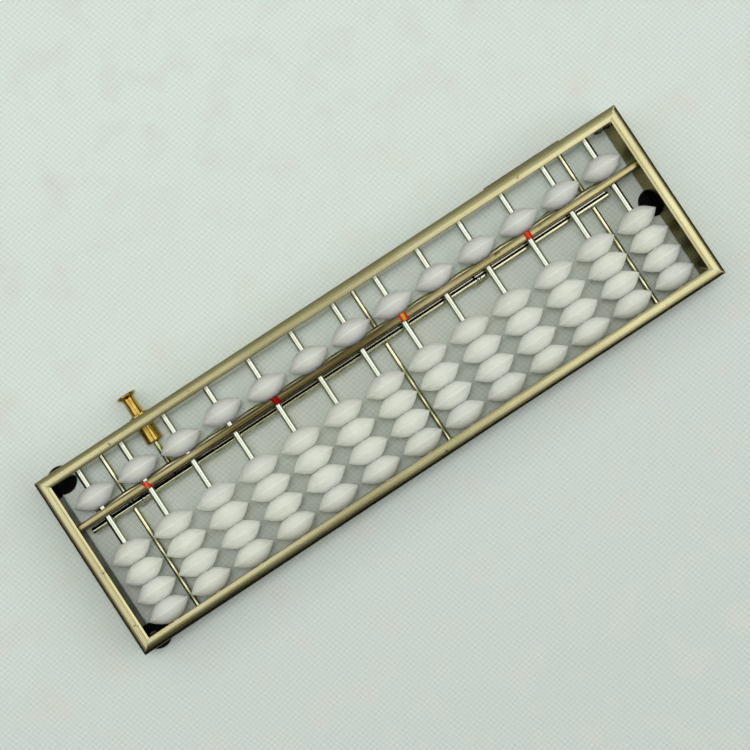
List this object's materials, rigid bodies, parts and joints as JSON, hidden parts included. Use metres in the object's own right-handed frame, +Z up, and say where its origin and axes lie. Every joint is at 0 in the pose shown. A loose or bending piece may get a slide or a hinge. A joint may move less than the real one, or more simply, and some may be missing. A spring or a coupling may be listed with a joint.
{
  "type": "abacus",
  "caption": "Pocket abacus: a shallow metal frame with rods, lens-shaped beads, a cross beam and a push button whose levers spread two bars to clear the beads.",
  "frame": {"origin": "on the table, under the middle of the whole object with its feet and button", "axes": "+X along the beam, towards the last column; +Y across the rails, towards the single beads and the button; +Z up"},
  "size_m": [0.1924, 0.065, 0.0186],
  "materials": {
    "rail": "satin champagne anodised, brushed along the rails",
    "beam": "satin champagne, brushed along its length",
    "rod": "polished",
    "wire": "polished pale gold",
    "bar": "polished pale gold",
    "lever": "bright rolled plate",
    "brass": "turned and polished",
    "steel": "plain",
    "bead": "glossy, slightly translucent white",
    "foot": "matt black"
  },
  "bodies": {
    "frame": {"top_rail": "rail", "bottom_rail": "rail", "left_rail": "rail", "right_rail": "rail", "beam": "beam", "rod_01": "rod", "rod_02": "rod", "rod_03": "rod", "rod_04": "rod", "rod_05": "rod", "rod_06": "rod", "rod_07": "rod", "rod_08": "rod", "rod_09": "rod", "rod_10": "rod", "rod_11": "rod", "rod_12": "rod", "rod_13": "rod", "guide_wire_left": "wire", "guide_wire_middle": "wire", "guide_wire_right": "wire", "foot_upper_left": "foot", "foot_lower_left": "foot", "foot_right": "foot", "button_bush": "brass", "lever_pivot_left": "steel", "lever_pivot_right": "steel", "return_spring": "steel"},
    "button": {"button": "brass", "plunger_rod": "steel", "lower_clear_bar": "bar"},
    "upper_bar": {"upper_clear_bar": "bar"},
    "lever_left": {"lever_left": "lever"},
    "lever_right": {"lever_right": "lever"},
    "heaven_bead_01": {"heaven_bead_01": "bead"},
    "heaven_bead_02": {"heaven_bead_02": "bead"},
    "heaven_bead_03": {"heaven_bead_03": "bead"},
    "heaven_bead_04": {"heaven_bead_04": "bead"},
    "heaven_bead_05": {"heaven_bead_05": "bead"},
    "heaven_bead_06": {"heaven_bead_06": "bead"},
    "heaven_bead_07": {"heaven_bead_07": "bead"},
    "heaven_bead_08": {"heaven_bead_08": "bead"},
    "heaven_bead_09": {"heaven_bead_09": "bead"},
    "heaven_bead_10": {"heaven_bead_10": "bead"},
    "heaven_bead_11": {"heaven_bead_11": "bead"},
    "heaven_bead_12": {"heaven_bead_12": "bead"},
    "heaven_bead_13": {"heaven_bead_13": "bead"},
    "earth_beads_01": {"earth_beads_01": "bead"},
    "earth_beads_02": {"earth_beads_02": "bead"},
    "earth_beads_03": {"earth_beads_03": "bead"},
    "earth_beads_04": {"earth_beads_04": "bead"},
    "earth_beads_05": {"earth_beads_05": "bead"},
    "earth_beads_06": {"earth_beads_06": "bead"},
    "earth_beads_07": {"earth_beads_07": "bead"},
    "earth_beads_08": {"earth_beads_08": "bead"},
    "earth_beads_09": {"earth_beads_09": "bead"},
    "earth_beads_10": {"earth_beads_10": "bead"},
    "earth_beads_11": {"earth_beads_11": "bead"},
    "earth_beads_12": {"earth_beads_12": "bead"},
    "earth_beads_13": {"earth_beads_13": "bead"}
  },
  "joints": [
    {"name": "button_press", "type": "slide", "parent": "frame", "child": "button", "axis": [0, 1, 0], "range_m": [-0.00457, 0], "stiffness_N_per_m": 120, "springref_m": 0.002, "deforming": ["return_spring"]},
    {"name": "upper_bar_slide", "type": "slide", "parent": "frame", "child": "upper_bar", "axis": [0, 1, 0], "range_m": [0, 0.00458]},
    {"name": "lever_left_pivot", "type": "hinge", "parent": "frame", "child": "lever_left", "pos_m": [-0.06085, 0.00721, 0.0033], "axis": [0, 0, 1], "range_deg": [0, 18.4]},
    {"name": "lever_right_pivot", "type": "hinge", "parent": "frame", "child": "lever_right", "pos_m": [0.05075, 0.00721, 0.0033], "axis": [0, 0, 1], "range_deg": [0, 18.4]},
    {"name": "heaven_01_slide", "type": "slide", "parent": "upper_bar", "child": "heaven_bead_01", "axis": [0, 1, 0], "range_m": [0, 0.00484]},
    {"name": "heaven_02_slide", "type": "slide", "parent": "upper_bar", "child": "heaven_bead_02", "axis": [0, 1, 0], "range_m": [0, 0.00502]},
    {"name": "heaven_03_slide", "type": "slide", "parent": "upper_bar", "child": "heaven_bead_03", "axis": [0, 1, 0], "range_m": [0, 0.00531]},
    {"name": "heaven_04_slide", "type": "slide", "parent": "upper_bar", "child": "heaven_bead_04", "axis": [0, 1, 0], "range_m": [0, 0.00457]},
    {"name": "heaven_05_slide", "type": "slide", "parent": "upper_bar", "child": "heaven_bead_05", "axis": [0, 1, 0], "range_m": [0, 0.0056]},
    {"name": "heaven_06_slide", "type": "slide", "parent": "upper_bar", "child": "heaven_bead_06", "axis": [0, 1, 0], "range_m": [0, 0.0056]},
    {"name": "heaven_07_slide", "type": "slide", "parent": "upper_bar", "child": "heaven_bead_07", "axis": [0, 1, 0], "range_m": [0, 0.0056]},
    {"name": "heaven_08_slide", "type": "slide", "parent": "upper_bar", "child": "heaven_bead_08", "axis": [0, 1, 0], "range_m": [0, 0.0056]},
    {"name": "heaven_09_slide", "type": "slide", "parent": "upper_bar", "child": "heaven_bead_09", "axis": [0, 1, 0], "range_m": [0, 0.0056]},
    {"name": "heaven_10_slide", "type": "slide", "parent": "upper_bar", "child": "heaven_bead_10", "axis": [0, 1, 0], "range_m": [0, 0.0056]},
    {"name": "heaven_11_slide", "type": "slide", "parent": "upper_bar", "child": "heaven_bead_11", "axis": [0, 1, 0], "range_m": [0, 0.0056]},
    {"name": "heaven_12_slide", "type": "slide", "parent": "upper_bar", "child": "heaven_bead_12", "axis": [0, 1, 0], "range_m": [0, 0.0056]},
    {"name": "heaven_13_slide", "type": "slide", "parent": "upper_bar", "child": "heaven_bead_13", "axis": [0, 1, 0], "range_m": [0, 0.0056]},
    {"name": "earth_01_slide", "type": "slide", "parent": "frame", "child": "earth_beads_01", "axis": [0, 1, 0], "range_m": [0, 0.0076]},
    {"name": "earth_02_slide", "type": "slide", "parent": "frame", "child": "earth_beads_02", "axis": [0, 1, 0], "range_m": [0, 0.0076]},
    {"name": "earth_03_slide", "type": "slide", "parent": "frame", "child": "earth_beads_03", "axis": [0, 1, 0], "range_m": [0, 0.0076]},
    {"name": "earth_04_slide", "type": "slide", "parent": "frame", "child": "earth_beads_04", "axis": [0, 1, 0], "range_m": [0, 0.0076]},
    {"name": "earth_05_slide", "type": "slide", "parent": "frame", "child": "earth_beads_05", "axis": [0, 1, 0], "range_m": [0, 0.0076]},
    {"name": "earth_06_slide", "type": "slide", "parent": "frame", "child": "earth_beads_06", "axis": [0, 1, 0], "range_m": [0, 0.0076]},
    {"name": "earth_07_slide", "type": "slide", "parent": "frame", "child": "earth_beads_07", "axis": [0, 1, 0], "range_m": [0, 0.0076]},
    {"name": "earth_08_slide", "type": "slide", "parent": "frame", "child": "earth_beads_08", "axis": [0, 1, 0], "range_m": [0, 0.0076]},
    {"name": "earth_09_slide", "type": "slide", "parent": "frame", "child": "earth_beads_09", "axis": [0, 1, 0], "range_m": [0, 0.0076]},
    {"name": "earth_10_slide", "type": "slide", "parent": "frame", "child": "earth_beads_10", "axis": [0, 1, 0], "range_m": [0, 0.0076]},
    {"name": "earth_11_slide", "type": "slide", "parent": "frame", "child": "earth_beads_11", "axis": [0, 1, 0], "range_m": [0, 0.0076]},
    {"name": "earth_12_slide", "type": "slide", "parent": "frame", "child": "earth_beads_12", "axis": [0, 1, 0], "range_m": [0, 0.0076]},
    {"name": "earth_13_slide", "type": "slide", "parent": "frame", "child": "earth_beads_13", "axis": [0, 1, 0], "range_m": [0, 0.0076]}
  ],
  "couplings": [
    {"joint": "upper_bar_slide", "follows": "button_press", "ratio": -1},
    {"joint": "lever_left_pivot", "follows": "button_press", "rad_per_m": -70.04},
    {"joint": "lever_right_pivot", "follows": "button_press", "rad_per_m": -70.04}
  ]
}
